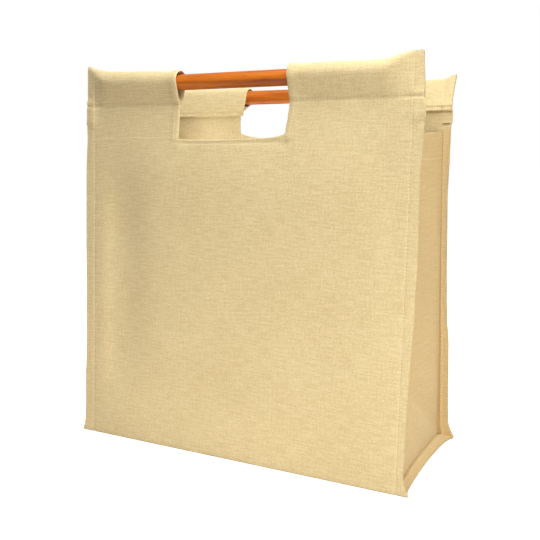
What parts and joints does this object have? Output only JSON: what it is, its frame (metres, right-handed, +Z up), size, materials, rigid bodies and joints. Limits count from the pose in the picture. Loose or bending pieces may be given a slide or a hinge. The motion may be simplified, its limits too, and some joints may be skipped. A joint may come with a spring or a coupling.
{
  "type": "tote bag",
  "caption": "Open-topped canvas tote bag with folded side gussets and wooden dowel handles held in sewn tunnels over cut-out grip openings.",
  "frame": {"origin": "middle of the base on the floor, in the middle of the bounding box", "axes": "+Z up from the base to the handles, +Y from the front panel to the back panel, +X to the right seen from the front"},
  "size_m": [0.388, 0.172, 0.4076],
  "materials": {
    "panel_canvas": "natural unbleached plain-weave canvas, matt",
    "gusset_canvas": "natural unbleached plain-weave canvas, matt",
    "varnished_wood": "orange-brown stained hardwood dowel with clear satin varnish"
  },
  "bodies": {
    "root": {"body_cloth": "panel_canvas", "gusset_left": "gusset_canvas", "gusset_right": "gusset_canvas", "handle_rod_front": "varnished_wood", "handle_rod_back": "varnished_wood"}
  },
  "joints": []
}
